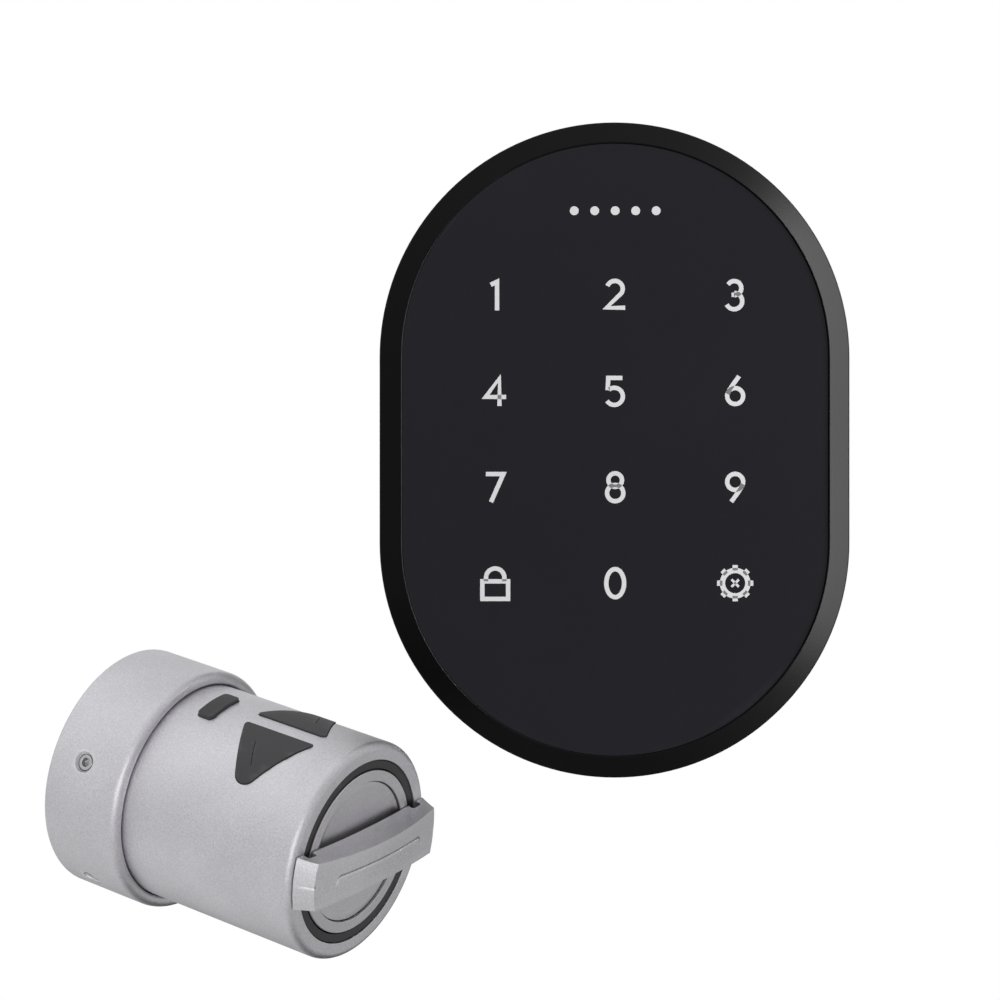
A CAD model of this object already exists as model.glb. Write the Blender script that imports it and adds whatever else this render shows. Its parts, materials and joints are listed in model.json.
"""Looks of the keypad smart lock: a touch keypad for the wall and the motorised thumb-turn that it commands.

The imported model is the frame. Every class below is one sub-assembly. Its fields are sizes in millimetres in
the sub-assembly's own axes, and its methods make the shown meshes, which stand for the CAD nodes they name.
"""

import json
import logging
import math
from dataclasses import dataclass, field
from enum import Enum
from typing import Iterable, Sequence

import bmesh
import bpy
from mathutils import Matrix, Vector

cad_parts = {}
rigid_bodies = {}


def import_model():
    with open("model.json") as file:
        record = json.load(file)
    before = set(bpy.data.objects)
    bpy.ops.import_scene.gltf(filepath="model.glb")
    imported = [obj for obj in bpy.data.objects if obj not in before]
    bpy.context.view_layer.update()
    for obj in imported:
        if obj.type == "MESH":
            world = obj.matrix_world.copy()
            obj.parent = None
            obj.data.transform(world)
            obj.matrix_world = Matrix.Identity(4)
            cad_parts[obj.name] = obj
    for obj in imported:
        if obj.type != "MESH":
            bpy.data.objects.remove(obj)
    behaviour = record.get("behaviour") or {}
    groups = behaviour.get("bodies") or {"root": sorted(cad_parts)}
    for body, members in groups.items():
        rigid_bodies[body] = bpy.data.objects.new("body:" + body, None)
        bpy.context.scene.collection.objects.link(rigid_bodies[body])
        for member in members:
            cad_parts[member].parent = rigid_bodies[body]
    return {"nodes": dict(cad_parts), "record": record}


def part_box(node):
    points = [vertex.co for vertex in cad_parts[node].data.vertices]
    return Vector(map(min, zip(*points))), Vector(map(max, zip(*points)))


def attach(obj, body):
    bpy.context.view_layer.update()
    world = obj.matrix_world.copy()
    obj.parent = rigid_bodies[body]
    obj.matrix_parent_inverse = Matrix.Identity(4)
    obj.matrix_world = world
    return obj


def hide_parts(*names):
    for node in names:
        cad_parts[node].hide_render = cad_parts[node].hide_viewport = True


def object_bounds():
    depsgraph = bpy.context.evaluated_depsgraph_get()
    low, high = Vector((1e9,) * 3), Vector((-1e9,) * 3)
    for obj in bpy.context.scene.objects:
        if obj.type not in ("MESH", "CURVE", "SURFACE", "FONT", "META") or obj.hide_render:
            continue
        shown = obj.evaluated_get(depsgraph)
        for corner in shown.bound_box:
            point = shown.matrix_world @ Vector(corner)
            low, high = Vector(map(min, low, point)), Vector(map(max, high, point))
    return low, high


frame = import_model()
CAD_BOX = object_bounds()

LOG = logging.getLogger("keypad_lock")
MM = 0.001
Point = tuple[float, float]
Point3 = tuple[float, float, float]
Piece = bpy.types.Object
Socket = bpy.types.NodeSocket
Tree = bpy.types.NodeTree
RECORD = frame["record"]
BODY_OF = {node: body for body, nodes in RECORD["behaviour"]["bodies"].items() for node in nodes}
SLOT_OF = {part["node"]: part["material_slot"] for part in RECORD["subparts"]}
JOINTS = {joint["name"]: joint for joint in RECORD["behaviour"]["joints"]}


# ---- Places ------------------------------------------------------------------


@dataclass(frozen=True)
class Placement:
    """The origin and axes of a unit in the shared frame, in metres."""

    origin: Vector = field(default_factory=Vector)
    right: Vector = field(default_factory=lambda: Vector((1, 0, 0)))
    out: Vector = field(default_factory=lambda: Vector((0, 1, 0)))
    up: Vector = field(default_factory=lambda: Vector((0, 0, 1)))

    def matrix(self) -> Matrix:
        """The unit's own axes as a world matrix."""
        rotation = Matrix((self.right, self.out, self.up)).transposed().to_4x4()
        return Matrix.Translation(self.origin) @ rotation

    def turned(self, degrees: float) -> "Placement":
        """This placement turned about its own out axis, by the right-hand rule."""
        turn = Matrix.Rotation(math.radians(degrees), 3, self.out)
        return Placement(self.origin, turn @ self.right, self.out, turn @ self.up)


def lock_placement(body_front: float) -> Placement:
    """The lock unit's own axes, read from its joints.

    Args:
        body_front: Distance from the door face to the knob face, in millimetres.

    Returns:
        A placement whose origin is the centre of the door face and whose +Y is the knob's axis.
    """
    out = Vector(JOINTS["knob_turn"]["axis"]).normalized()
    up = -Vector(JOINTS["mode_press"]["axis"]).normalized()
    middle = Vector(JOINTS["knob_turn"]["pos_m"])
    return Placement(middle - out * body_front / 2 * MM, out.cross(up), out, up)


SHARED = Placement()
MERGE = 0.002  # corners nearer than this are one corner, in millimetres


# ---- Mesh making -------------------------------------------------------------


def full_turn(count: int) -> list[float]:
    """Equal angles round a full turn, in radians."""
    return [2 * math.pi * i / count for i in range(count)]


def linked(name: str, data: bpy.types.ID) -> Piece:
    """A new object that holds the data, linked to the scene.

    Args:
        name: The object's name.
        data: Its mesh, lamp or camera.

    Returns:
        The object.
    """
    made = bpy.data.objects.new(name, data)
    bpy.context.scene.collection.objects.link(made)
    return made


def new_piece(name: str, points: Iterable[Point3], faces: Iterable[Sequence[int]]) -> Piece:
    """A mesh object from points in millimetres, with its doubled points merged and its faces looking out.

    Args:
        name: The object's name.
        points: Corners in millimetres.
        faces: Corner numbers of each face.

    Returns:
        The linked object, at the origin.
    """
    mesh = bpy.data.meshes.new(name)
    mesh.from_pydata([Vector(p) * MM for p in points], [], [tuple(f) for f in faces])
    work = bmesh.new()
    work.from_mesh(mesh)
    bmesh.ops.remove_doubles(work, verts=work.verts, dist=MERGE * MM)
    bmesh.ops.recalc_face_normals(work, faces=work.faces)
    for face in work.faces:
        face.smooth = True
    work.to_mesh(mesh)
    work.free()
    return linked(name, mesh)


def loops_piece(name: str, loops: Sequence[Sequence[Point3]], closed: bool) -> Piece:
    """A skin over loops of equal length.

    Args:
        name: The object's name.
        loops: Rings of corners in millimetres, each closed on itself.
        closed: True to join the last loop to the first, False to cap both ends.

    Returns:
        The linked object.
    """
    count = len(loops[0])
    points = [p for loop in loops for p in loop]
    faces: list[Sequence[int]] = []
    for k in range(len(loops) if closed else len(loops) - 1):
        here, there = k * count, (k + 1) % len(loops) * count
        for i in range(count):
            j = (i + 1) % count
            faces.append((here + i, here + j, there + j, there + i))
    if not closed:
        faces += [range(count), range(len(points) - count, len(points))]
    return new_piece(name, points, faces)


def turned_piece(
    name: str, profile: Sequence[Point], segments: int = 168, longest: float = 100.0
) -> Piece:
    """A lathe-turned piece about its own +Y.

    Args:
        name: The object's name.
        profile: A closed loop of (radius, y) in millimetres.
        segments: Steps round the axis.
        longest: Lengths of the profile longer than this are divided, in millimetres.

    Returns:
        The linked object.
    """
    path: list[Point] = []
    for (r0, y0), (r1, y1) in zip(profile, [*profile[1:], profile[0]]):
        parts = max(1, math.ceil(math.hypot(r1 - r0, y1 - y0) / longest))
        path += [(r0 + (r1 - r0) * k / parts, y0 + (y1 - y0) * k / parts) for k in range(parts)]
    turns = full_turn(segments)
    loops = [[(r * math.sin(a), y, r * math.cos(a)) for a in turns] for r, y in path]
    return loops_piece(name, loops, closed=True)


def arc(centre: Point, radius: float, start: float, end: float, steps: int = 6) -> list[Point]:
    """Points on an arc between two angles in degrees, its ends included."""
    angles = [math.radians(start + (end - start) * i / steps) for i in range(steps + 1)]
    return [(centre[0] + radius * math.cos(a), centre[1] + radius * math.sin(a)) for a in angles]


def drill(radius: float, start: Point3, end: Point3, sides: int = 48, wide: float = 0.0) -> Piece:
    """A round or many-sided cutting tool between two points.

    Args:
        radius: Its radius at the start, in millimetres.
        start: Centre of the first end.
        end: Centre of the other end.
        sides: Number of sides, 6 for a hex socket.
        wide: Radius at the other end, or 0 for the same.

    Returns:
        The tool.
    """
    axis = (Vector(end) - Vector(start)).normalized()
    across = axis.orthogonal().normalized()
    other = axis.cross(across)
    spokes = [across * math.cos(a) + other * math.sin(a) for a in full_turn(sides)]
    ends = ((start, radius), (end, wide or radius))
    loops = [[tuple(Vector(centre) + way * size) for way in spokes] for centre, size in ends]
    return loops_piece("tool", loops, closed=False)


def block(low: Point3, high: Point3, name: str = "tool") -> Piece:
    """A box between two corners, used to cut or to build up a piece.

    Args:
        low: Lowest corner in millimetres.
        high: Highest corner.
        name: The object's name.

    Returns:
        The box.
    """
    (x0, y0, z0), (x1, y1, z1) = low, high
    loops = [[(x0, y, z0), (x1, y, z0), (x1, y, z1), (x0, y, z1)] for y in (y0, y1)]
    return loops_piece(name, loops, closed=False)


def settle(piece: Piece) -> None:
    """Turns a piece's modifiers into its mesh.

    Args:
        piece: The piece to change.
    """
    shaped = piece.evaluated_get(bpy.context.evaluated_depsgraph_get())
    mesh = bpy.data.meshes.new_from_object(shaped)
    rough = piece.data
    piece.modifiers.clear()
    piece.data = mesh
    bpy.data.meshes.remove(rough)


class Cut(Enum):
    """How a tool changes a piece."""

    AWAY = "DIFFERENCE"
    KEEP = "INTERSECT"
    JOIN = "UNION"


def machine(piece: Piece, cut: Cut, *tools: Piece) -> None:
    """Cuts a piece with tools, or joins them to it, and clears the tools away.

    Args:
        piece: The piece to change.
        cut: What the tools do.
        tools: Closed meshes in the piece's own axes.
    """
    for tool in tools:
        modifier = piece.modifiers.new("machine", "BOOLEAN")
        modifier.operation = cut.value
        modifier.solver = "EXACT"
        modifier.object = tool
        settle(piece)
        bpy.data.objects.remove(tool)


def round_edges(piece: Piece, width: float, segments: int = 3, angle: float = 32) -> None:
    """Rounds a piece's sharp edges and shades its flats flat.

    Args:
        piece: The piece to change.
        width: How far each round reaches, in millimetres.
        segments: Steps across each round.
        angle: Edges sharper than this many degrees are rounded.
    """
    for polygon in piece.data.polygons:
        polygon.use_smooth = True
    bevel = piece.modifiers.new("round", "BEVEL")
    bevel.width = width * MM
    bevel.segments = segments
    bevel.limit_method = "ANGLE"
    bevel.angle_limit = math.radians(angle)
    bevel.miter_outer = "MITER_ARC"
    weighted = piece.modifiers.new("flats", "WEIGHTED_NORMAL")
    weighted.keep_sharp = True
    weighted.weight = 80
    settle(piece)


def install(
    piece: Piece,
    finish: "Finish",
    place: Placement,
    *nodes: str,
    body: str = "",
) -> Piece:
    """Dresses a piece, puts it in its place and lets it ride on its body.

    Args:
        piece: The piece, in its own axes.
        finish: Its finish.
        place: Where its own axes lie.
        nodes: The CAD nodes that it stands for.
        body: The body that it rides on, where it stands for no node.

    Returns:
        The same piece.
    """
    if finish.lathe:
        piece.matrix_world = place.matrix()
    else:
        piece.data.transform(place.matrix())
    piece.data.materials.clear()
    piece.data.materials.append(finish.material())
    bpy.context.view_layer.update()
    if nodes:
        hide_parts(*nodes)
    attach(piece, body or BODY_OF[nodes[0]])
    LOG.info("made %s with %s, %d faces", piece.name, finish.name, len(piece.data.polygons))
    return piece


# ---- Shader wiring, and effects that several finishes share ------------------


VALUE_SOCKET = "NodeSocketFloat"
# A Mix node's sockets share their names among its data types, so its colour sockets go by number.
MIX_UNDER, MIX_OVER, MIX_RESULT = 6, 7, 2
Value = Socket | float | Sequence[float]


class Effect(Enum):
    """Surface effects, each a node group that the EffectShop method of the same name makes."""

    GRAIN = "fine grain"
    EDGE = "edge polish"
    SMUDGE = "handling marks"
    TURNING = "turning lines"
    BOARD = "board traces"


class Wiring:
    """Adds nodes to a shader tree and joins them."""

    def __init__(self, tree: Tree) -> None:
        """Keeps the tree to add to."""
        self.tree = tree

    def add(self, kind: str, **settings: str | bool | Tree) -> bpy.types.Node:
        """Adds a shader node.

        Args:
            kind: Its type, after the word ShaderNode.
            settings: Its properties, such as its operation.

        Returns:
            The node.
        """
        node = self.tree.nodes.new(f"ShaderNode{kind}")
        for key, value in settings.items():
            setattr(node, key, value)
        return node

    def join(self, value: Value, socket: Socket) -> None:
        """Feeds a socket from another socket, or sets it.

        Args:
            value: The other socket, or a number or colour.
            socket: The socket to feed.
        """
        if isinstance(value, Socket):
            self.tree.links.new(value, socket)
        else:
            socket.default_value = value

    def math(self, operation: str, *values: Value, clamp: bool = False) -> Socket:
        """One step of arithmetic.

        Args:
            operation: The math node's operation.
            values: Its values, sockets or numbers.
            clamp: True to keep the result between 0 and 1.

        Returns:
            The result's socket.
        """
        node = self.add("Math", operation=operation, use_clamp=clamp)
        for value, socket in zip(values, node.inputs):
            self.join(value, socket)
        return node.outputs[0]

    def noise(self, place: Socket, scale: Value, detail: float) -> Socket:
        """A noise texture.

        Args:
            place: The socket with its coordinates.
            scale: Its cells per metre.
            detail: Its octaves.

        Returns:
            The socket of its value.
        """
        node = self.add("TexNoise")
        for name, value in (("Vector", place), ("Scale", scale), ("Detail", detail)):
            self.join(value, node.inputs[name])
        return node.outputs["Fac"]

    def scaled(self, colour: Socket, tone: Socket) -> Socket:
        """A colour made lighter and darker.

        Args:
            colour: The colour.
            tone: The factor, about 1.

        Returns:
            The product's socket.
        """
        node = self.add("VectorMath", operation="SCALE")
        self.join(colour, node.inputs[0])
        self.join(tone, node.inputs["Scale"])
        return node.outputs["Vector"]

    def mixed(self, mask: Socket, under: Socket, over: Point3) -> Socket:
        """A colour laid over another by a mask.

        Args:
            mask: How much of the upper colour shows.
            under: The lower colour.
            over: The upper colour.

        Returns:
            The mix's socket.
        """
        node = self.add("Mix", data_type="RGBA")
        self.join(mask, node.inputs["Factor"])
        self.join(under, node.inputs[MIX_UNDER])
        self.join((*over, 1), node.inputs[MIX_OVER])
        return node.outputs[MIX_RESULT]

    def effect(self, effect: Effect, **values: float) -> bpy.types.bpy_prop_collection:
        """Puts an effect in the tree.

        Args:
            effect: The effect.
            values: Its input values.

        Returns:
            Its outputs.
        """
        node = self.add("Group", node_tree=EffectShop.tree(effect), label=effect.value)
        for name, value in values.items():
            self.join(value, node.inputs[name])
        return node.outputs


class EffectGroup(Wiring):
    """The wiring of one effect's node group."""

    def __init__(self, effect: Effect, **inputs: float) -> None:
        """Makes the group.

        Args:
            effect: The effect that names it.
            inputs: Each input's name and starting value.
        """
        super().__init__(bpy.data.node_groups.new(effect.value, "ShaderNodeTree"))
        for name, value in inputs.items():
            socket = self.tree.interface.new_socket(name, in_out="INPUT", socket_type=VALUE_SOCKET)
            socket.default_value = value
        self.inputs = self.tree.nodes.new("NodeGroupInput").outputs
        self.place = self.add("TexCoord").outputs["Object"]

    def give(self, **values: Socket) -> Tree:
        """Ends the group with its outputs.

        Args:
            values: Each output's name and the socket that feeds it.

        Returns:
            The group's tree.
        """
        for name in values:
            self.tree.interface.new_socket(name, in_out="OUTPUT", socket_type=VALUE_SOCKET)
        outputs = self.tree.nodes.new("NodeGroupOutput").inputs
        for name, value in values.items():
            self.join(value, outputs[name])
        return self.tree


class EffectShop:
    """Makes each effect's node group, at its first use. Scales are cells per metre."""

    made: dict[Effect, Tree] = {}

    @classmethod
    def tree(cls, effect: Effect) -> Tree:
        """The node group of an effect.

        Args:
            effect: The effect.

        Returns:
            The group's tree.
        """
        if effect not in cls.made:
            cls.made[effect] = getattr(cls, effect.name.lower())()
        return cls.made[effect]

    @staticmethod
    def grain() -> Tree:
        """Blasted or moulded grain: a fine height, and a tone that wanders about 1.

        Returns:
            The group's tree.
        """
        cloud_scale, cloud_share, mean = 60, 0.6, 0.8
        group = EffectGroup(Effect.GRAIN, Scale=4000.0, Contrast=0.1)
        fine = group.noise(group.place, group.inputs["Scale"], 2)
        cloud = group.math("MULTIPLY", group.noise(group.place, cloud_scale, 3), cloud_share)
        swing = group.math("SUBTRACT", group.math("ADD", fine, cloud), mean)
        spread = group.math("MULTIPLY", swing, group.inputs["Contrast"])
        return group.give(Tone=group.math("ADD", spread, 1.0), Height=fine)

    @staticmethod
    def edge() -> Tree:
        """Edges that handling has polished: a mask that is 1 on outward edges.

        Returns:
            The group's tree.
        """
        threshold, steepness, patch_scale = 0.52, 9.0, 900
        group = EffectGroup(Effect.EDGE, Amount=1.0)
        sharp = group.math("SUBTRACT", group.add("NewGeometry").outputs["Pointiness"], threshold)
        steep = group.math("MULTIPLY", sharp, steepness, clamp=True)
        patchy = group.math("MULTIPLY", steep, group.noise(group.place, patch_scale, 3))
        return group.give(Mask=group.math("MULTIPLY", patchy, group.inputs["Amount"], clamp=True))

    @staticmethod
    def smudge() -> Tree:
        """Finger marks and dust: a soft, patchy mask.

        Returns:
            The group's tree.
        """
        patch_scale, ridge_scale, threshold, steepness = 35, 1500, 0.45, 3.0
        group = EffectGroup(Effect.SMUDGE, Amount=0.5)
        body = group.math("SUBTRACT", group.noise(group.place, patch_scale, 4), threshold)
        soft = group.math("MULTIPLY", body, steepness, clamp=True)
        ridge = group.math("ADD", group.noise(group.place, ridge_scale, 1), 0.5)
        ridged = group.math("MULTIPLY", soft, ridge)
        return group.give(Mask=group.math("MULTIPLY", ridged, group.inputs["Amount"], clamp=True))

    @staticmethod
    def turning() -> Tree:
        """Lines that a lathe leaves about a piece's own +Y: a height that changes with radius and length.

        Returns:
            The group's tree.
        """
        group = EffectGroup(Effect.TURNING, Scale=2600.0)
        split = group.add("SeparateXYZ")
        group.join(group.place, split.inputs[0])
        squares = [group.math("MULTIPLY", split.outputs[axis], split.outputs[axis]) for axis in "XZ"]
        along = group.add("CombineXYZ")
        group.join(group.math("POWER", group.math("ADD", *squares), 0.5), along.inputs["X"])
        group.join(split.outputs["Y"], along.inputs["Y"])
        return group.give(Height=group.noise(along.outputs[0], group.inputs["Scale"], 2))

    @staticmethod
    def board() -> Tree:
        """Copper under solder mask: a mask of straight traces and round pads.

        Returns:
            The group's tree.
        """
        scale, bands, gap = 420.0, 3.0, 0.72
        group = EffectGroup(Effect.BOARD)
        cells = group.add("TexVoronoi", distance="MANHATTAN", feature="F1")
        group.join(group.place, cells.inputs["Vector"])
        group.join(scale, cells.inputs["Scale"])
        near = group.math("FRACT", group.math("MULTIPLY", cells.outputs["Distance"], bands))
        return group.give(Mask=group.math("GREATER_THAN", near, gap))


# ---- Finishes ----------------------------------------------------------------


COAT_ROUGHNESS = 0.05
SMUDGE_ROUGHNESS = 0.25


@dataclass(frozen=True)
class Finish:
    """One finish and the node material that shows it. Lengths in its nodes are metres."""

    name: str
    slot: str
    colour: Point3
    roughness: float
    metallic: float = 0.0
    grain: float = 4000.0
    contrast: float = 0.15
    relief: float = 0.00001
    worn: Point3 = (0.5, 0.5, 0.5)
    wear: float = 0.2
    smudge: float = 0.15
    coat: float = 0.0
    glow: float = 0.0
    specular: float = 0.5
    lathe: float = 0.0
    traces: bool = False

    def material(self) -> bpy.types.Material:
        """This finish's material, made at its first use."""
        return bpy.data.materials.get(self.name) or self.build()

    def build(self) -> bpy.types.Material:
        """Makes the material's nodes.

        Returns:
            The material.
        """
        material = bpy.data.materials.new(self.name)
        material.use_nodes = True
        wiring = Wiring(material.node_tree)
        grain = wiring.effect(Effect.GRAIN, Scale=self.grain, Contrast=self.contrast)
        edge = wiring.effect(Effect.EDGE, Amount=self.wear)
        smudge = wiring.effect(Effect.SMUDGE, Amount=self.smudge)
        colour = wiring.scaled(self.base(wiring), grain["Tone"])
        duller = wiring.math("MULTIPLY", smudge["Mask"], SMUDGE_ROUGHNESS)
        bump = wiring.add("Bump")
        wiring.join(1.0, bump.inputs["Strength"])
        wiring.join(self.relief, bump.inputs["Distance"])
        wiring.join(self.height(wiring, grain["Height"]), bump.inputs["Height"])
        inputs = {
            "Base Color": wiring.mixed(edge["Mask"], colour, self.worn),
            "Metallic": self.metallic,
            "Roughness": wiring.math("MULTIPLY_ADD", grain["Tone"], self.roughness, duller),
            "Specular IOR Level": self.specular,
            "Coat Weight": self.coat,
            "Coat Roughness": COAT_ROUGHNESS,
            "Normal": bump.outputs["Normal"],
            "Emission Strength": self.glow,
        }
        if self.glow:
            inputs["Emission Color"] = colour
        shader = material.node_tree.nodes["Principled BSDF"]
        for name, value in inputs.items():
            wiring.join(value, shader.inputs[name])
        return material

    def base(self, wiring: Wiring) -> Socket:
        """The colour before grain: plain, or with a board's copper traces.

        Args:
            wiring: The material's wiring.

        Returns:
            The colour's socket.
        """
        plain = wiring.add("RGB").outputs[0]
        plain.default_value = (*self.colour, 1)
        if not self.traces:
            return plain
        lighter = tuple(min(1.0, 1.9 * c + 0.01) for c in self.colour)
        return wiring.mixed(wiring.effect(Effect.BOARD)["Mask"], plain, lighter)

    def height(self, wiring: Wiring, grain: Socket) -> Socket:
        """The relief's height: grain alone, or grain and turning lines.

        Args:
            wiring: The material's wiring.
            grain: The grain's height.

        Returns:
            The height's socket.
        """
        if not self.lathe:
            return grain
        return wiring.math("ADD", grain, wiring.effect(Effect.TURNING, Scale=self.lathe)["Height"])


SATIN_SILVER = Finish(
    "satin silver", "satin_silver", (0.7, 0.69, 0.722), 0.47, 1.0,
    grain=3000, contrast=0.5, relief=0.00005, worn=(0.8, 0.79, 0.81), wear=0.4, smudge=0.2,
)
TURNED_SILVER = Finish(
    "turned silver", "satin_silver", (0.64, 0.63, 0.652), 0.42, 1.0,
    grain=3000, contrast=0.4, relief=0.00003, worn=(0.8, 0.79, 0.81), wear=0.4, smudge=0.2, lathe=1800,
)
BLACK_SHELL = Finish(
    "black shell", "black_shell", (0.002, 0.002, 0.0023), 0.36,
    grain=2600, contrast=0.3, relief=0.000003, worn=(0.012, 0.012, 0.013), wear=0.5, specular=0.075,
)
BLACK_GLASS = Finish(
    "black glass", "black_glass", (0.0042, 0.0042, 0.0065), 0.13,
    grain=500, contrast=0.08, relief=0.0000003, worn=(0.02, 0.02, 0.025), wear=0.4, smudge=0.3, coat=0.2,
)
SMOKED_RING = Finish(
    "smoked ring", "black_glass", (0.013, 0.014, 0.016), 0.4,
    grain=2000, contrast=0.15, relief=0.000003, worn=(0.08, 0.08, 0.085), wear=0.3, coat=0.15,
)
BUTTON_GREY = Finish(
    "button grey", "button_grey", (0.056, 0.056, 0.06), 0.62,
    grain=3000, contrast=0.35, relief=0.00001, worn=(0.13, 0.13, 0.135), wear=0.6, smudge=0.3,
)
LEGEND_WHITE = Finish(
    "legend white", "white_plastic", (0.33, 0.33, 0.335), 0.3,
    grain=1500, contrast=0.1, relief=0.000001, worn=(0.33, 0.33, 0.335), wear=0.0, coat=0.3, glow=0.4,
)
DARK_PLASTIC = Finish(
    "dark plastic", "dark_plastic", (0.022, 0.022, 0.025), 0.55,
    grain=2400, contrast=0.35, relief=0.000015, worn=(0.07, 0.07, 0.075), wear=0.5, smudge=0.3,
)
WHITE_PLASTIC = Finish(
    "white plastic", "white_plastic", (0.74, 0.74, 0.71), 0.45,
    grain=1500, contrast=0.06, relief=0.000005, worn=(0.85, 0.85, 0.83), wear=0.3,
)
GASKET_RUBBER = Finish(
    "gasket rubber", "rubber", (0.02, 0.02, 0.02), 0.75,
    grain=2500, contrast=0.3, worn=(0.06, 0.06, 0.06),
)
SOLDER_MASK = Finish(
    "solder mask", "board", (0.012, 0.075, 0.035), 0.32,
    grain=1800, contrast=0.12, relief=0.000003, worn=(0.5, 0.4, 0.15), wear=0.3, coat=0.3, traces=True,
)
ZINC_STEEL = Finish(
    "zinc steel", "steel", (0.52, 0.52, 0.535), 0.3, 1.0,
    grain=2500, contrast=0.25, relief=0.000005, worn=(0.75, 0.75, 0.76), wear=0.5, smudge=0.25,
)
TURNED_BRASS = Finish(
    "turned brass", "brass", (0.62, 0.43, 0.17), 0.3, 1.0,
    grain=2200, contrast=0.2, relief=0.000004, worn=(0.8, 0.62, 0.3), wear=0.5, smudge=0.3, lathe=2600,
)
CELL_WRAP = Finish(
    "cell wrap", "cell_wrap", (0.035, 0.085, 0.16), 0.28,
    grain=700, contrast=0.12, relief=0.000004, worn=(0.3, 0.33, 0.38), wear=0.4, smudge=0.2, coat=0.5,
)
NICKEL = Finish(
    "nickel plate", "nickel", (0.6, 0.585, 0.55), 0.24, 1.0,
    grain=1500, contrast=0.15, relief=0.000003, worn=(0.75, 0.73, 0.7), wear=0.4, smudge=0.25,
)
FINISH_OF_SLOT = {
    finish.slot: finish
    for finish in (
        SATIN_SILVER, BLACK_SHELL, BLACK_GLASS, BUTTON_GREY, GASKET_RUBBER, DARK_PLASTIC, WHITE_PLASTIC,
        SOLDER_MASK, ZINC_STEEL, TURNED_BRASS, CELL_WRAP, NICKEL,
    )
}


# ---- Keypad ------------------------------------------------------------------


@dataclass
class Keypad:
    """The keypad's outer pieces. A depth is a distance out from the wall."""

    wall: float = 2.2
    bezel: float = 4.4
    bezel_drop: float = 3.4
    ledge_inset: float = 7.4
    ledge: Point = (17.4, 18.6)
    back_chamfer: float = 0.4
    edge_round: float = 0.75
    edge_drop: float = 0.25
    rim_round: float = 0.2
    glass_gap: float = 0.03
    glass_round: float = 0.12
    screw_depth: float = 4.6
    screw_hole: float = 1.65
    screw_reach: float = 4.0
    steps: int = 80

    def __post_init__(self) -> None:
        """Reads the outline and the depths from the frame."""
        low, high = (Vector(corner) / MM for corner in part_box("keypad_housing"))
        self.radius = (high.x - low.x) / 2
        self.rise = (high.z - low.z) / 2 - self.radius
        self.front, self.back = -low.y, -high.y
        glass_low, glass_high = (Vector(corner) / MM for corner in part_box("keypad_glass"))
        self.glass = (-glass_high.y, -glass_low.y)

    @property
    def foot(self) -> float:
        """Height of the outline's lowest point."""
        return -self.rise - self.radius

    def outline(self, inset: float) -> list[Point]:
        """The stadium outline inset from the housing's edge, as (x, z) anticlockwise."""
        ends = ((self.rise, 0, 180), (-self.rise, 180, 360))
        return [p for z, start, end in ends for p in arc((0, z), self.radius - inset, start, end, self.steps)]

    def skin(self, name: str, profile: Sequence[Point], closed: bool) -> Piece:
        """A profile of (inset, depth) swept round the outline: a hollow ring if closed, else a plate."""
        loops = [[(x, -depth, z) for x, z in self.outline(inset)] for inset, depth in profile]
        return loops_piece(name, loops, closed)

    def housing(self) -> None:
        """The stadium housing with its sloping bezel and the hole for its security screw."""
        shoulder = self.front - self.bezel_drop
        slope = math.degrees(math.atan2(self.bezel_drop, self.bezel))
        rim = self.rim_round
        profile = [
            (self.back_chamfer, self.back),
            (0.0, self.back + self.back_chamfer),
            *arc((self.edge_round, shoulder - self.edge_drop), self.edge_round, 180, 90 + slope, 8),
            *arc((self.bezel - rim, self.front - rim), rim, 90 + slope, 0, 6),
            (self.bezel, self.ledge[1]),
            (self.ledge_inset, self.ledge[1]),
            (self.ledge_inset, self.ledge[0]),
            (self.wall, self.ledge[0]),
            (self.wall, self.back),
        ]
        shell = self.skin("housing_shell", profile, closed=True)
        ends = ((0, -self.screw_depth, self.foot + step) for step in (-2, self.screw_reach))
        machine(shell, Cut.AWAY, drill(self.screw_hole, *ends))
        round_edges(shell, 0.06, 2, 40)
        install(shell, BLACK_SHELL, SHARED, "keypad_housing")

    def touch_glass(self) -> None:
        """The black glass with its rounded edge."""
        back, front = self.glass
        inset = self.bezel + self.glass_gap
        edge = arc((inset + self.glass_round, front - self.glass_round), self.glass_round, 180, 90, 5)
        glass = self.skin("touch_glass", [(inset, back), *edge], closed=False)
        round_edges(glass, 0.05, 2, 40)
        install(glass, BLACK_GLASS, SHARED, "keypad_glass")


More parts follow.
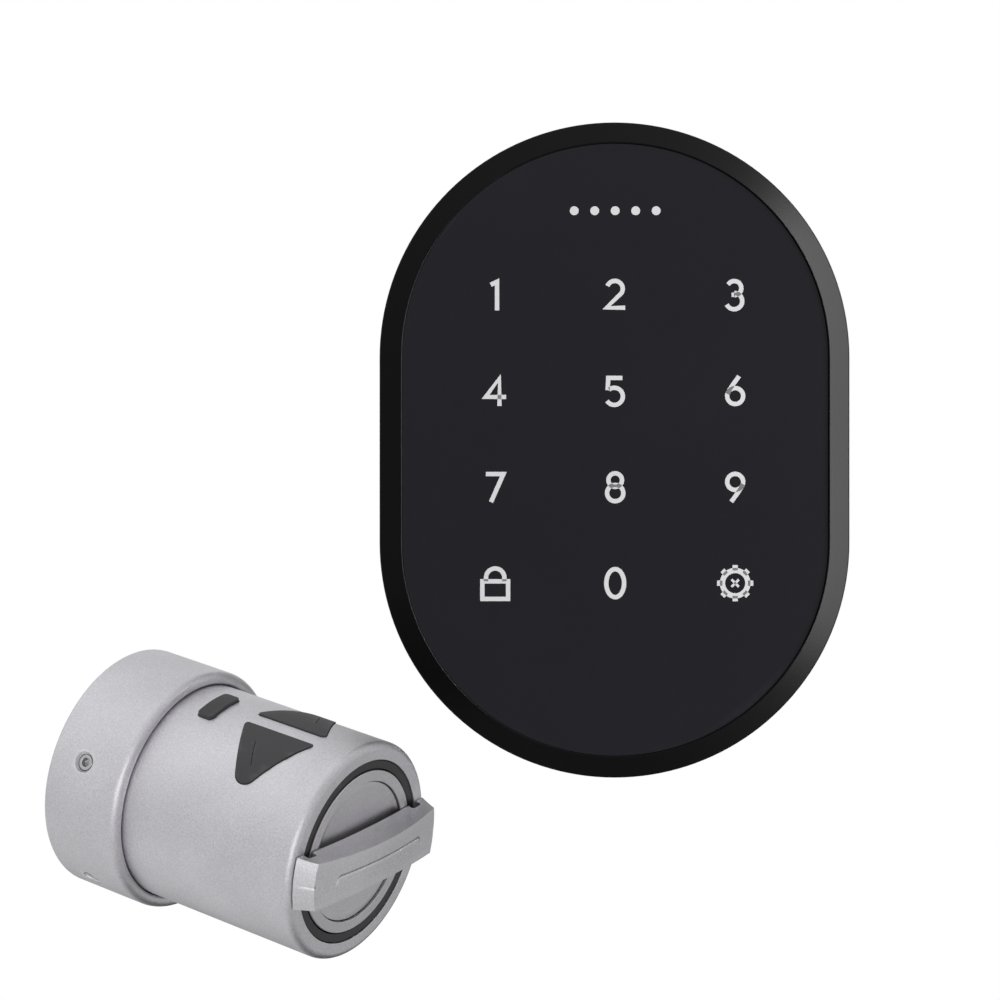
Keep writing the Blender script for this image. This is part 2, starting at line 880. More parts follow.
class Stroke:
    """Pen strokes of even width, drawn as flat inlays in the glass."""

    def __init__(self, weight: float) -> None:
        """Starts an empty drawing.

        Args:
            weight: The pen's width in millimetres.
        """
        self.half = weight / 2
        self.points: list[Point] = []
        self.faces: list[Sequence[int]] = []

    def line(self, path: Sequence[Point]) -> None:
        """Draws a path with mitred corners. A path that ends at its start is closed.

        Args:
            path: The pen's (x, z) points in millimetres.
        """
        closed = math.dist(path[0], path[-1]) < MERGE
        nodes = [Vector(p) for p in (path[:-1] if closed else path)]
        count = len(nodes)
        start = len(self.points)
        for i, node in enumerate(nodes):
            before = nodes[i - 1] if closed or i else None
            after = nodes[(i + 1) % count] if closed or i < count - 1 else None
            ways = [way.normalized() for way in (before and node - before, after and after - node) if way]
            along = sum(ways, Vector((0, 0))).normalized()
            across = Vector((-along.y, along.x))
            reach = self.half / max(0.5, across.dot(Vector((-ways[0].y, ways[0].x))))
            self.points += [tuple(node + across * reach * side) for side in (1, -1)]
        for i in range(count if closed else count - 1):
            a, b = start + 2 * i, start + 2 * ((i + 1) % count)
            self.faces.append((a, b, b + 1, a + 1))

    def dot(self, centre: Point, radius: float) -> None:
        """Draws a filled round dot.

        Args:
            centre: Its (x, z) centre in millimetres.
            radius: Its radius.
        """
        start = len(self.points)
        self.points += arc(centre, radius, 0, 360, 32)[:-1]
        self.faces.append(range(start, len(self.points)))

    def inlay(self, name: str, depth: float, thickness: float) -> Piece:
        """The drawing as a thin closed piece.

        Args:
            name: The object's name.
            depth: Depth of its back face from the wall, in millimetres.
            thickness: How thick it is.

        Returns:
            The piece.
        """
        mesh = bpy.data.meshes.new(name)
        points = [Vector((x, -depth, z)) * MM for x, z in self.points]
        mesh.from_pydata(points, [], [tuple(f) for f in self.faces])
        work = bmesh.new()
        work.from_mesh(mesh)
        raised = bmesh.ops.extrude_face_region(work, geom=work.faces[:])["geom"]
        lifted = [part for part in raised if isinstance(part, bmesh.types.BMVert)]
        bmesh.ops.translate(work, vec=Vector((0, -thickness * MM, 0)), verts=lifted)
        bmesh.ops.recalc_face_normals(work, faces=work.faces)
        work.to_mesh(mesh)
        work.free()
        return linked(name, mesh)


@dataclass
class Legends:
    """The lit numerals and symbols under the glass, drawn in generic strokes."""

    pitch_x: float = 22.84
    pitch_z: float = 18.3
    top_z: float = 29.5
    height: float = 5.75
    weight: float = 0.84
    face: float = 20.7
    thickness: float = 0.02
    dot_radius: float = 0.85
    dot_pitch: float = 3.9
    dots_z: float = 45.5
    dots: int = 5

    def key_centre(self, row: int, column: int) -> Point:
        """The (x, z) centre of a key: rows count from the top, columns from the middle."""
        return column * self.pitch_x, self.top_z - row * self.pitch_z

    def numeral(self, digit: int) -> list[list[Point]]:
        """A numeral's strokes, one em high on its own centre.

        Args:
            digit: 0 to 9.

        Returns:
            Each stroke's points. A closed stroke ends at its start.
        """
        match digit:
            case 0:
                return [[(0.295 * x, 0.465 * z) for x, z in arc((0, 0), 1, 0, 360, 36)]]
            case 1:
                return [[(-0.15, 0.33), (0.06, 0.43), (0.06, -0.52)]]
            case 2:
                return [[*arc((-0.01, 0.2), 0.26, 160, -36, 16), (-0.29, -0.43), (0.33, -0.43)]]
            case 3:
                upper = arc((-0.03, 0.22), 0.235, 150, -90, 14)
                return [upper, [(-0.12, 0.0), (0.0, 0.0)], arc((-0.035, -0.21), 0.27, 90, -155, 14)]
            case 4:
                return [[(0.14, -0.5), (0.14, 0.42), (-0.32, -0.2), (0.36, -0.2)]]
            case 5:
                flag = [(0.24, 0.43), (-0.23, 0.43), (-0.25, 0.02)]
                return [flag, arc((-0.03, -0.18), 0.285, 128, -148, 18)]
            case 6:
                stem = [(0.13, 0.49), (-0.06, 0.23), (-0.18, 0.05), (-0.255, -0.1)]
                return [arc((0, -0.17), 0.265, 0, 360, 28), stem]
            case 7:
                return [[(-0.31, 0.43), (0.27, 0.43), (-0.14, -0.5)]]
            case 8:
                return [arc((0, 0.23), 0.225, 0, 360, 26), arc((0, -0.2), 0.27, 0, 360, 28)]
            case _:
                return [[(-x, -z) for x, z in path] for path in self.numeral(6)]

    def draw_numeral(self, digit: int, centre: Point) -> None:
        """Lays one numeral in the glass.

        Args:
            digit: 0 to 9.
            centre: Its key's centre.
        """
        pen = Stroke(self.weight)
        for path in self.numeral(digit):
            pen.line([(centre[0] + x * self.height, centre[1] + z * self.height) for x, z in path])
        self.lay(pen, f"numeral_{digit}")

    def draw_padlock(self, centre: Point) -> None:
        """Lays the padlock symbol in the glass: a body's outline and its shackle.

        Args:
            centre: Its key's centre.
        """
        x, z = centre
        width, low, high, stem, shackle = 2.45, -3.0, 0.35, 0.7, 1.75
        pen = Stroke(self.weight)
        sides = [(-width, low), (width, low), (width, high), (-width, high), (-width, low)]
        pen.line([(x + u, z + v) for u, v in sides])
        bow = arc((x, z + high + stem), shackle, 0, 180, 20)
        pen.line([(x + shackle, z + high), *bow, (x - shackle, z + high)])
        self.lay(pen, "symbol_padlock")

    def draw_gear(self, centre: Point) -> None:
        """Lays the gear symbol in the glass: a ring, eight teeth and a small cross.

        Args:
            centre: Its key's centre.
        """
        x, z = centre
        ring, reach, arm, teeth = 2.42, 3.45, 0.7, 8
        bold, thin = 1.2, 0.55
        pen = Stroke(self.weight * bold)
        pen.line(arc(centre, ring, 0, 360, 48))
        for a in full_turn(teeth):
            pen.line([(x + math.cos(a) * r, z + math.sin(a) * r) for r in (ring, reach)])
        fine = Stroke(self.weight * thin)
        for side in (1, -1):
            fine.line([(x - arm, z - arm * side), (x + arm, z + arm * side)])
        self.lay(pen, "symbol_gear")
        self.lay(fine, "symbol_gear_cross")

    def draw_status(self) -> None:
        """Lays the row of round status lamps above the keys."""
        pen = Stroke(self.weight)
        for i in range(self.dots):
            pen.dot(((i - (self.dots - 1) / 2) * self.dot_pitch, self.dots_z), self.dot_radius)
        self.lay(pen, "status_lamps")

    def lay(self, pen: Stroke, name: str) -> None:
        """Installs a drawing on the keypad under a name."""
        piece = pen.inlay(name, self.face - self.thickness / 2, self.thickness)
        install(piece, LEGEND_WHITE, SHARED, body="keypad_unit")

    def build(self) -> None:
        """Lays every numeral and symbol."""
        for digit in range(1, 10):
            row, column = divmod(digit - 1, 3)
            self.draw_numeral(digit, self.key_centre(row, column - 1))
        self.draw_padlock(self.key_centre(3, -1))
        self.draw_numeral(0, self.key_centre(3, 0))
        self.draw_gear(self.key_centre(3, 1))
        self.draw_status()


@dataclass
class WallPlate:
    """The plate that is screwed to the wall, with its snap tabs and foot lug."""

    inset: float = 2.8
    thickness: float = 2.4
    chamfer: float = 0.3
    overlap: float = 0.3
    hole: float = 2.3
    seat: float = 4.2
    seat_depth: float = 1.1
    holes_z: tuple[float, float] = (38.0, -50.0)
    tab: Point3 = (1.6, 8.0, 6.1)
    tabs: tuple[Point, ...] = ((33, 14), (-33, 14), (-33, -14), (33, -14))
    lug: Point3 = (10.0, 3.0, 6.4)
    lug_rise: float = 4.3
    pad: Point = (17.0, 22.0)
    pads: tuple[Point, ...] = ((-16, 24), (16, 24), (-16, -28), (16, -28))
    pad_depth: float = 0.35

    def build(self, keypad: Keypad) -> None:
        """Makes the plate.

        Args:
            keypad: The keypad whose outline it follows.
        """
        profile = [(self.inset + self.chamfer, 0.0), (self.inset, self.chamfer), (self.inset, self.thickness)]
        plate = keypad.skin("wall_plate_moulding", profile, closed=False)
        root, above = -self.thickness + self.overlap, -self.thickness - 1
        lug_z = keypad.foot + self.lug_rise + self.lug[1] / 2
        raised = [(x, z, self.tab) for x, z in self.tabs] + [(0, lug_z, self.lug)]
        for x, z, (wide, tall, reach) in raised:
            tool = block((x - wide / 2, -reach, z - tall / 2), (x + wide / 2, root, z + tall / 2))
            machine(plate, Cut.JOIN, tool)
        for z in self.holes_z:
            through = drill(self.hole, (0, 1, z), (0, above, z))
            seat = drill(self.seat, (0, above, z), (0, -self.thickness + self.seat_depth, z))
            machine(plate, Cut.AWAY, through, seat)
        wide, tall = self.pad
        for x, z in self.pads:
            low, high = (x - wide / 2, -self.pad_depth, z - tall / 2), (x + wide / 2, 1.0, z + tall / 2)
            machine(plate, Cut.AWAY, block(low, high))
        round_edges(plate, 0.2, 2)
        install(plate, DARK_PLASTIC, SHARED, "wall_plate")


# ---- Lock unit ---------------------------------------------------------------


@dataclass(frozen=True)
class LockSizes:
    """Sizes that several pieces of the lock unit share."""

    collar_radius: float = 22.75
    collar_length: float = 17.0
    body_radius: float = 20.3
    body_front: float = 54.8
    shell_wall: float = 1.6
    ring_outer: float = 17.0
    ring_inner: float = 15.4
    disc_radius: float = 12.95
    inner_fit: float = 18.4


LOCK = LockSizes()
LOCK_PLACE = lock_placement(LOCK.body_front)


def spoke(angle: float, radius: float, y: float) -> Point3:
    """A point at an angle in degrees from +Z towards +X, at a radius from the lock unit's axis."""
    return radius * math.sin(math.radians(angle)), y, radius * math.cos(math.radians(angle))


@dataclass
class Collar:
    """The mounting collar, its set screws, and the plate that takes the cylinder's screws."""

    fillet: float = 1.5
    lip: float = 0.5
    foot_round: float = 0.6
    floor: float = 2.6
    door_hole: float = 17.4
    clearance: float = 0.22
    screw_y: float = 7.6
    screw_radius: float = 1.45
    screw_angles: tuple[float, ...] = (56.4, 122, 238, 303.6)
    screw_sink: float = 0.35
    hex_radius: float = 0.88
    hex_depth: float = 1.1
    mouth_depth: float = 0.45
    plate_bore: float = 7.0
    plate_span: Point = (0.6, 5.4)
    cup_front: float = 11.5
    cup_inner: float = 16.2
    slot_reach: float = 13.0
    slot_radius: float = 2.6
    coupler_radius: float = 6.2
    coupler_span: Point = (0.8, 9.5)
    tail_slot: Point3 = (10.0, 4.0, 2.4)

    def radial(self, radius: float, angle: float, near: float, far: float, sides: int = 40) -> Piece:
        """A drill along a set screw's line, between two distances from the unit's axis."""
        return drill(radius, spoke(angle, near, self.screw_y), spoke(angle, far, self.screw_y), sides)

    def collar(self) -> None:
        """The turned collar with its rounded front edge and countersunk screw holes."""
        outer, length, foot = LOCK.collar_radius, LOCK.collar_length, self.foot_round
        bore = LOCK.body_radius + self.clearance
        profile = [
            (self.door_hole, 0),
            *arc((outer - foot, foot), foot, -90, 0, 4),
            *arc((outer - self.fillet, length - self.fillet), self.fillet, 0, 90, 10),
            *arc((bore + self.lip, length - self.lip), self.lip, 90, 180, 5),
            (bore, self.floor),
            (self.door_hole, self.floor),
        ]
        collar = turned_piece("collar_turning", profile, 192, 1.6)
        narrow, wide = self.screw_radius + 0.1, self.screw_radius + 1.1
        for angle in self.screw_angles:
            machine(collar, Cut.AWAY, self.radial(self.screw_radius + 0.12, angle, 18, outer + 2))
            deep, above = (spoke(angle, outer + step, self.screw_y) for step in (-self.mouth_depth, 0.6))
            machine(collar, Cut.AWAY, drill(narrow, deep, above, 40, wide))
        round_edges(collar, 0.07, 2, 40)
        install(collar, SATIN_SILVER, LOCK_PLACE, "mounting_collar")

    def set_screws(self) -> None:
        """The four grub screws with hex sockets."""
        foot, head = LOCK.body_radius + 0.15, LOCK.collar_radius - self.screw_sink
        for i, angle in enumerate(self.screw_angles, 1):
            screw = self.radial(self.screw_radius, angle, foot, head)
            machine(screw, Cut.AWAY, self.radial(self.hex_radius, angle, head - self.hex_depth, head + 1, 6))
            screw.name = f"grub_screw_{i}"
            round_edges(screw, 0.14, 2)
            install(screw, ZINC_STEEL, LOCK_PLACE, f"collar_set_screw_{i}")

    def plate(self) -> None:
        """The pressed plate inside the collar, with two slots for the cylinder's screws."""
        (back, front), bore, cup = self.plate_span, self.plate_bore, self.cup_front
        boss, rest, fit, inner = self.door_hole - 0.3, self.floor + 0.3, LOCK.inner_fit, self.cup_inner
        outside = [(bore, back), (boss, back), (boss, rest), (fit, rest), (fit, cup)]
        inside = [(inner, cup), (inner, front), (bore, front)]
        plate = turned_piece("cylinder_plate", outside + inside, 144)
        for side in (-1, 1):
            left = arc((side * self.slot_reach - 1, 0), self.slot_radius, 90, 270, 14)
            right = arc((side * self.slot_reach + 1, 0), self.slot_radius, -90, 90, 14)
            loops = [[(x, y, z) for x, z in left + right] for y in (-0.5, 6.5)]
            machine(plate, Cut.AWAY, loops_piece("tool", loops, closed=False))
        round_edges(plate, 0.2, 3)
        install(plate, ZINC_STEEL, LOCK_PLACE, "mounting_plate")

    def coupler(self) -> None:
        """The brass coupler that takes the cylinder's flat tail."""
        radius, (back, front) = self.coupler_radius, self.coupler_span
        foot, chamfer, bore, bottom = 0.5, 0.4, 2.6, 4.2
        profile = [
            (0, back),
            *arc((radius - foot, back + foot), foot, -90, 0, 4),
            (radius, front - chamfer),
            (radius - chamfer, front),
            (bore, front),
            (bore, bottom),
            (0, bottom),
        ]
        coupler = turned_piece("tail_coupler_turning", profile, 96)
        wide, deep, tall = self.tail_slot
        machine(coupler, Cut.AWAY, block((-wide / 2, 0, -tall / 2), (wide / 2, deep, tall / 2)))
        round_edges(coupler, 0.1, 2)
        install(coupler, TURNED_BRASS, LOCK_PLACE, "tail_coupler")

    def build(self) -> None:
        """Makes every piece of the mounting."""
        self.collar()
        self.set_screws()
        self.plate()
        self.coupler()


Corner = tuple[float, float, float]


def rounded_outline(corners: Sequence[Corner], grow: float, steps: int = 8) -> list[Point]:
    """A convex polygon with rounded corners.

    Args:
        corners: Each corner as (u, v, radius), anticlockwise.
        grow: How far the outline is grown outwards.
        steps: Steps round each corner.

    Returns:
        The outline's points.
    """
    outline: list[Point] = []
    for i, (u, v, radius) in enumerate(corners):
        corner = Vector((u, v))
        before = (Vector(corners[i - 1][:2]) - corner).normalized()
        after = (Vector(corners[(i + 1) % len(corners)][:2]) - corner).normalized()
        half = before.angle(after) / 2
        centre = corner + (before + after).normalized() * radius / math.sin(half)
        start = math.degrees(math.atan2(before.x, -before.y))
        end = math.degrees(math.atan2(-after.x, after.y))
        span = (end - start) % 360
        outline += arc((centre.x, centre.y), radius + grow, start, start + span, steps)
    return outline


@dataclass(frozen=True)
class Key:
    """A button cap that follows the shell. u runs along the unit, and v across the line that it faces."""

    node: str
    corners: tuple[Corner, ...]
    tilt: float
    proud: float
    about_face: bool = False

    def prism(self, outline: Sequence[Point], low: float, high: float) -> Piece:
        """An outline raised through the shell where the key is, as a tool.

        Args:
            outline: The outline's (u, v) points.
            low: Height of its foot above the unit's axis.
            high: Height of its top.

        Returns:
            The prism.
        """
        turn = math.radians(self.tilt)
        loops = []
        for w in (low, high):
            loop = []
            for u, v in outline:
                x = v * math.cos(turn) + w * math.sin(turn)
                z = -v * math.sin(turn) + w * math.cos(turn)
                loop.append((-x, 2 * ARROWS_MIDDLE - u, z) if self.about_face else (x, u, z))
            loops.append(loop)
        return loops_piece("tool", loops, closed=False)


def arrow_corners(span: Point, corner: float, inner: float, outer: float, tilt: float) -> tuple[Corner, ...]:
    """The corners of an arrow button's rounded triangle, anticlockwise in (u, v).

    Args:
        span: Where its long edge starts and ends along the unit.
        corner: Where its point lies along the unit.
        inner: The long edge's distance round the shell from the top line.
        outer: The point's distance round the shell.
        tilt: The angle that the button faces.

    Returns:
        The corners.
    """
    radius, turn = LOCK.body_radius, math.radians(tilt)
    near, far = (radius * math.sin(way / radius - turn) for way in (inner, outer))
    return (span[0], near, 0.6), (span[1], near, 0.45), (corner, far, 2.3)


ARROW_TILT = 19.0
ARROW_SPAN = (31.5, 47.1)
ARROWS_MIDDLE = sum(ARROW_SPAN) / 2
ARROW = arrow_corners(ARROW_SPAN, 39.3, 1.55, 17.0, ARROW_TILT)
MODE = ((22.2, -4.2, 0.8), (25.6, -4.2, 0.8), (25.6, 4.2, 0.8), (22.2, 4.2, 0.8))
KEYS = (
    Key("unlock_button", ARROW, ARROW_TILT, 0.25),
    Key("lock_button", ARROW, ARROW_TILT, 0.25, about_face=True),
    Key("mode_button", MODE, 0.0, 0.6),
)


@dataclass
class Body:
    """The lock unit's shell, its buttons and its ring lamp."""

    fillet: float = 1.4
    back: float = 3.2
    back_chamfer: float = 0.3
    lip: float = 2.2
    mouth_gap: float = 0.12
    mouth_round: float = 0.12
    key_gap: float = 0.15
    key_foot: float = 14.4
    cap_floor: float = 17.9
    tool_top: float = 24.0
    ring_drop: float = 0.25
    ring_round: float = 0.15
    ring_flange: Point = (3.9, 2.5)
    mark_line: tuple[Point, ...] = ((36.68, -1.3), (36.82, -1.3), (39.42, 3.8), (39.28, 3.8))
    mark_depth: float = 0.47

    def shell(self) -> None:
        """The silver shell with openings for the buttons."""
        outer, front = LOCK.body_radius, LOCK.body_front
        inner, mouth, edge = outer - LOCK.shell_wall, LOCK.ring_outer + self.mouth_gap, self.mouth_round
        profile = [
            (inner, self.back),
            (outer - self.back_chamfer, self.back),
            (outer, self.back + self.back_chamfer),
            *arc((outer - self.fillet, front - self.fillet), self.fillet, 0, 90, 10),
            *arc((mouth + edge, front - edge), edge, 90, 180, 3),
            (mouth, front - self.lip),
            (inner, front - self.lip),
        ]
        shell = turned_piece("shell_machining", profile, 224, 2.0)
        for key in KEYS:
            machine(shell, Cut.AWAY, key.prism(rounded_outline(key.corners, self.key_gap), 12, self.tool_top))
        round_edges(shell, 0.1, 2, 40)
        install(shell, SATIN_SILVER, LOCK_PLACE, "body_shell")

    def buttons(self) -> None:
        """The soft grey button caps. Each arrow has a fine line engraved across it."""
        for key in KEYS:
            cap = key.prism(rounded_outline(key.corners, 0), self.key_foot, self.tool_top)
            top = LOCK.body_radius + key.proud
            skin = [(self.cap_floor, 15), (top, 15), (top, 50), (self.cap_floor, 50)]
            machine(cap, Cut.KEEP, turned_piece("tool", skin, 224, 1.2))
            if key.tilt:
                machine(cap, Cut.AWAY, key.prism(self.mark_line, top - self.mark_depth, self.tool_top))
            cap.name = key.node.replace("button", "cap")
            round_edges(cap, 0.32, 3, 40)
            install(cap, BUTTON_GREY, LOCK_PLACE, key.node)

    def ring_lamp(self) -> None:
        """The dark ring that the lamps shine through, with its flange behind the shell's lip."""
        outer, inner, edge = LOCK.ring_outer, LOCK.ring_inner, self.ring_round
        front = LOCK.body_front - self.ring_drop
        back, step = (LOCK.body_front - drop for drop in self.ring_flange)
        profile = [
            (inner, back),
            (LOCK.inner_fit, back),
            (LOCK.inner_fit, step),
            (outer, step),
            *arc((outer - edge, front - edge), edge, 0, 90, 4),
            *arc((inner + edge, front - edge), edge, 90, 180, 4),
        ]
        ring = turned_piece("ring_lamp", profile, 192)
        round_edges(ring, 0.05, 2, 40)
        install(ring, SMOKED_RING, LOCK_PLACE, "light_ring")

    def build(self) -> None:
        """Makes every piece of the body."""
        self.shell()
        self.buttons()
        self.ring_lamp()


@dataclass
class Knob:
    """The knob face: a turned hub, a dished disc and the grip bar across them."""

    turn: float = -10.3
    hub_back: float = 49.2
    hub_waist: float = 8.8
    hub_bore: float = 3.1
    hub_flange: float = 3.7
    floor: float = 1.6
    dish: float = 0.55
    disc_edge: float = 0.45
    half_length: float = 19.4
    end_width: float = 10.0
    waist_width: float = 8.4
    end_height: float = 3.5
    crown: float = 2.0
    end_slant: float = 1.4
    draft: float = 0.35
    foot: float = 0.2
    scoop: float = 0.45
    notch_height: float = 1.4
    notch_round: float = 0.5
    groove_reach: float = 12.7
    groove_bend: float = 1.3
    groove_z: float = 0.55
    groove_width: float = 0.13
    groove_depth: float = 0.1
    stations: int = 60

    def place(self) -> Placement:
        """Where the knob's own axes lie at rest."""
        return LOCK_PLACE.turned(self.turn)

    def hub(self) -> None:
        """The silver hub with the pocket that the disc sits in."""
        front, edge, pocket = LOCK.body_front, LOCK.ring_inner - 0.2, LOCK.disc_radius + 0.18
        outer_round, inner_round = 0.2, 0.12
        profile = [
            (self.hub_bore, self.hub_back),
            (self.hub_waist, self.hub_back),
            (self.hub_waist, front - self.hub_flange),
            (edge, front - self.hub_flange),
            *arc((edge - outer_round, front - outer_round), outer_round, 0, 90, 4),
            *arc((pocket + inner_round, front - inner_round), inner_round, 90, 180, 3),
            (pocket, front - self.floor),
            (self.hub_bore, front - self.floor),
        ]
        hub = turned_piece("hub_turning", profile, 192)
        round_edges(hub, 0.06, 2, 40)
        install(hub, TURNED_SILVER, self.place(), "knob_hub")

    def disc(self) -> None:
        """The sunken disc, dished towards the bar to leave room for fingers."""
        radius, steps, rings = LOCK.disc_radius, 144, 14
        back = LOCK.body_front - self.floor + 0.1
        turns = full_turn(steps)
        loops = [[(r * math.sin(a), back, r * math.cos(a)) for a in turns] for r in (0.0, radius)]
        for k in range(rings, -1, -1):
            r = radius * k / rings
            loop = []
            for x, z in ((r * math.sin(a), r * math.cos(a)) for a in turns):
                sink = self.dish * max(0.0, 1 - (z / radius) ** 2) ** 1.5 * (k < rings)
                loop.append((x, LOCK.body_front - self.disc_edge - sink, z))
            loops.append(loop)
        disc = loops_piece("disc_turning", loops, closed=True)
        round_edges(disc, 0.12, 3)
        install(disc, TURNED_SILVER, self.place(), "knob_disc")

    def top(self, x: float) -> float:
        """Height of the grip bar's crowned top at a distance from its middle."""
        return LOCK.body_front + self.end_height + self.crown * (1 - (x / self.half_length) ** 2)

    def section(self, x: float) -> list[Point3]:
        """The grip bar's section at one place along it.

        Args:
            x: Distance from the bar's middle in millimetres.

        Returns:
            The section's loop.
        """
        rises, spans = 10, 8
        share = (x / self.half_length) ** 2
        half = (self.waist_width + (self.end_width - self.waist_width) * share) / 2
        base, top = LOCK.body_front + self.foot, self.top(x)
        hollow = self.scoop * max(0.0, 1 - share)
        side = []
        for t in (i / rises for i in range(rises + 1)):
            width = half - self.draft * t - hollow * math.sin(math.pi * t)
            side.append((width, base + (top - base) * t))
        edge = side[-1][0]
        crown = [(edge * (1 - 2 * i / spans), top) for i in range(1, spans)]
        other = [(-z, y) for z, y in reversed(side)]
        return [(x, y, z) for z, y in side + crown + other]

    def groove(self) -> Piece:
        """The fine hooked line engraved along the grip's crown, as a tool.

        Returns:
            The tool.
        """
        bend, straight, steps = self.groove_bend, self.groove_reach - self.groove_bend, 24
        right = arc((straight, self.groove_z - bend), bend, 0, 90, 6)
        left = arc((-straight, self.groove_z - bend), bend, 90, 180, 6)
        middle = [(straight - 2 * straight * k / steps, self.groove_z) for k in range(1, steps)]
        path = right + middle + left
        loops = []
        for i, (x, z) in enumerate(path):
            before, after = Vector(path[max(0, i - 1)]), Vector(path[min(len(path) - 1, i + 1)])
            along = (after - before).normalized()
            across = Vector((-along.y, along.x)) * self.groove_width / 2
            low, high = self.top(x) - self.groove_depth, self.top(x) + 1
            corners = ((-1, low), (1, low), (1, high), (-1, high))
            loops.append([(x + side * across.x, y, z + side * across.y) for side, y in corners])
        return loops_piece("tool", loops, closed=False)

    def grip(self) -> None:
        """The grip bar: crowned, waisted, scooped for fingers and notched over the ring lamp."""
        front, base, tall = LOCK.body_front, self.half_length, 15.0
        reach = base + 1.5
        places = [-reach + 2 * reach * i / self.stations for i in range(self.stations + 1)]
        bar = loops_piece("grip_bar", [self.section(x) for x in places], closed=False)
        tip = base - self.end_slant / self.end_height * (tall - self.foot)
        low, high = front - 1, front + tall
        trim = [(0, low), (base, low), (base, front + self.foot), (tip, high), (0, high)]
        machine(bar, Cut.KEEP, turned_piece("tool", trim, 192))
        inner, outer, edge = LOCK.ring_inner - 0.3, LOCK.ring_outer + 0.5, self.notch_round
        roof = front + self.notch_height - edge
        notch = [
            (inner, low),
            (outer, low),
            *arc((outer - edge, roof), edge, 0, 90, 4),
            *arc((inner + edge, roof), edge, 90, 180, 4),
        ]
        machine(bar, Cut.AWAY, turned_piece("tool", notch, 192))
        round_edges(bar, 0.4, 3, 38)
        machine(bar, Cut.AWAY, self.groove())
        install(bar, SATIN_SILVER, self.place(), "knob_grip")

    def build(self) -> None:
        """Makes every piece of the knob."""
        self.hub()
        self.disc()
        self.grip()


# ---- Pieces that keep their CAD shape ----------------------------------------


@dataclass
class InnerWorks:
    """The CAD nodes that stay: each gets its slot's finish and softened edges."""

    rounding: float = 0.08
    sharp: float = 35.0

    def build(self, shown: set[str]) -> None:
        """Dresses every node that no piece stands for.

        Args:
            shown: Names of the nodes that a made piece replaces.
        """
        for name, node in frame["nodes"].items():
            if name in shown:
                continue
            finish = FINISH_OF_SLOT[SLOT_OF[name]]
            node.data.materials.clear()
            node.data.materials.append(finish.material())
            bevel = node.modifiers.new("round", "BEVEL")
            bevel.width = self.rounding * MM
            bevel.segments = 2
            bevel.limit_method = "ANGLE"
            bevel.angle_limit = math.radians(self.sharp)
            LOG.info("dressed %s with %s", name, finish.name)


# ---- Studio ------------------------------------------------------------------


@dataclass(frozen=True)
class Lobe:
    """A soft light or dark patch of the surroundings: its direction, its strength and how narrow it is."""

    way: Point3
    strength: float
    narrow: float


@dataclass(frozen=True)
class Lamp:
    """A soft rectangular lamp that lights some finishes: its place, aim, size and power in watts."""

    name: str
    place: Point3
    aim: Point3
    size: Point
    power: float
    finishes: tuple[Finish, ...]

    def hang(self) -> None:
        """Puts the lamp in the studio."""
        data = bpy.data.lights.new(self.name, "AREA")
        data.shape = "RECTANGLE"
        data.size, data.size_y = self.size
        data.energy = self.power
        data.cycles.use_multiple_importance_sampling = False
        lamp = linked(self.name, data)
        lamp.location = self.place
        lamp.rotation_euler = (Vector(self.aim) - Vector(self.place)).to_track_quat("-Z", "Y").to_euler()
        receivers = bpy.data.collections.new(f"lit by {self.name}")
        names = {finish.name for finish in self.finishes}
        for piece in bpy.data.objects:
            if piece.type == "MESH" and piece.active_material and piece.active_material.name in names:
                receivers.objects.link(piece)
        lamp.light_linking.receiver_collection = receivers


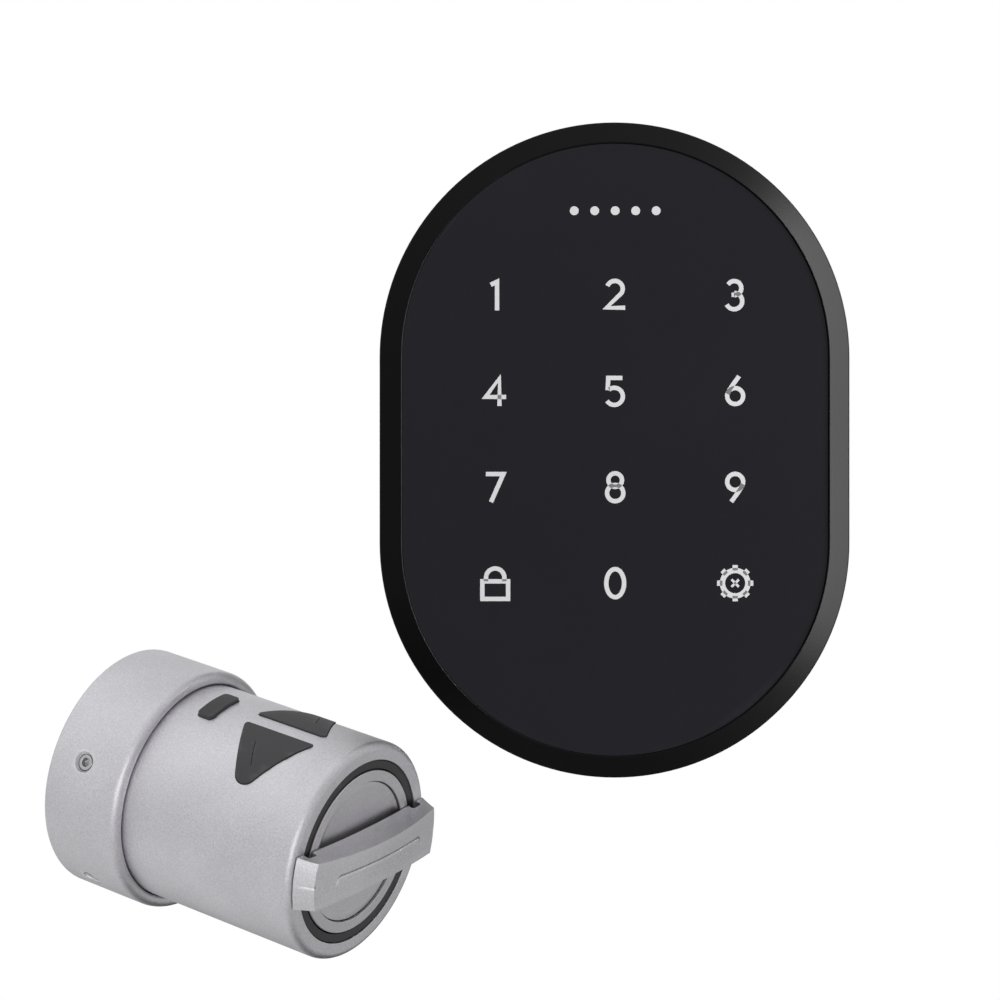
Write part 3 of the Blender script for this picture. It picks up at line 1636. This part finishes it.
@dataclass
class Studio:
    """The camera, the pale floor and the soft lights. Lengths are metres."""

    distance: float = 0.548
    frame_width: float = 0.1915
    aim: Point = (-0.02193, -0.00957)
    face: float = 0.01745
    sensor: float = 36.0
    floor_drop: float = 0.03
    floor_reach: float = 20.0
    surround: float = 0.58
    darkest: float = 0.02
    lobes: tuple[Lobe, ...] = (
        Lobe((-0.5, -0.3, 0.81), 0.42, 3),
        Lobe((-0.75, 0.1, -0.65), 0.1, 3),
        Lobe((0.6, -0.2, 0.77), 0.12, 5),
        Lobe((0.0, -1.0, 0.0), -0.36, 6),
        Lobe((0.3, 0.3, -0.9), -0.6, 10),
        Lobe((0.2, 0.88, -0.43), -0.7, 8),
        Lobe((0.05, 0.93, 0.36), 0.22, 5),
    )
    lamps: tuple[Lamp, ...] = (
        Lamp(
            "strip", (0.74, -0.25, 0.1), (0.045, -0.019, 0.0), (0.22, 1.1), 31.0,
            (BLACK_SHELL, BLACK_GLASS, LEGEND_WHITE),
        ),
        Lamp(
            "front", (-0.1, -0.8, -0.16), (-0.09, -0.06, -0.08), (0.5, 0.5), 1.5,
            (SATIN_SILVER, ZINC_STEEL),
        ),
    )

    def camera(self) -> None:
        """The camera, level and square to the keypad."""
        data = bpy.data.cameras.new("camera")
        data.sensor_width = self.sensor
        data.lens = self.sensor * self.distance / self.frame_width
        camera = linked("camera", data)
        camera.location = (self.aim[0], -self.face - self.distance, self.aim[1])
        camera.rotation_euler = (math.pi / 2, 0, 0)
        bpy.context.scene.camera = camera

    def floor(self) -> None:
        """The pale floor, just under the object, which only the camera sees."""
        z, span = (CAD_BOX[0][2] - self.floor_drop) / MM, self.floor_reach / MM
        corners = [(-span, -span, z), (span, -span, z), (span, span, z), (-span, span, z)]
        floor = new_piece("floor", corners, [(0, 1, 2, 3)])
        material = bpy.data.materials.new("pale floor")
        material.use_nodes = True
        wiring = Wiring(material.node_tree)
        both = wiring.add("MixShader")
        wiring.join(wiring.add("LightPath").outputs["Is Camera Ray"], both.inputs["Fac"])
        wiring.join(wiring.add("BsdfTransparent").outputs["BSDF"], both.inputs[1])
        wiring.join(wiring.add("Emission").outputs["Emission"], both.inputs[2])
        wiring.join(both.outputs["Shader"], material.node_tree.nodes["Material Output"].inputs["Surface"])
        floor.data.materials.append(material)

    def sky(self) -> None:
        """A white backdrop whose soft lobes light the object."""
        world = bpy.data.worlds.new("studio")
        bpy.context.scene.world = world
        world.use_nodes = True
        wiring = Wiring(world.node_tree)
        way = wiring.add("TexCoord").outputs["Generated"]
        level: Value = self.surround
        for lobe in self.lobes:
            facing = wiring.add("VectorMath", operation="DOT_PRODUCT")
            wiring.join(way, facing.inputs[0])
            wiring.join(Vector(lobe.way).normalized(), facing.inputs[1])
            front = wiring.math("MAXIMUM", facing.outputs["Value"], 0.0)
            share = wiring.math("MULTIPLY", wiring.math("POWER", front, lobe.narrow), lobe.strength)
            level = wiring.math("ADD", share, level)
        shown = wiring.add("Mix")
        wiring.join(wiring.add("LightPath").outputs["Is Camera Ray"], shown.inputs["Factor"])
        wiring.join(wiring.math("MAXIMUM", level, self.darkest), shown.inputs["A"])
        wiring.join(1.0, shown.inputs["B"])
        background = world.node_tree.nodes["Background"]
        wiring.join((1, 1, 1, 1), background.inputs["Color"])
        wiring.join(shown.outputs["Result"], background.inputs["Strength"])

    def build(self) -> None:
        """Sets up the camera and the surroundings."""
        self.camera()
        self.floor()
        self.sky()
        bpy.context.scene.view_settings.view_transform = "Standard"

    def light(self) -> None:
        """Hangs the lamps, once every piece is made."""
        for lamp in self.lamps:
            lamp.hang()


def main() -> None:
    """Builds the studio, the keypad and the lock unit."""
    logging.basicConfig(level=logging.INFO, format="%(message)s")
    studio = Studio()
    studio.build()
    keypad = Keypad()
    keypad.housing()
    keypad.touch_glass()
    Legends().build()
    WallPlate().build(keypad)
    Collar().build()
    Body().build()
    Knob().build()
    replaced = {name for name, node in frame["nodes"].items() if node.hide_render}
    InnerWorks().build(replaced)
    studio.light()


if __name__ == "__main__":
    main()
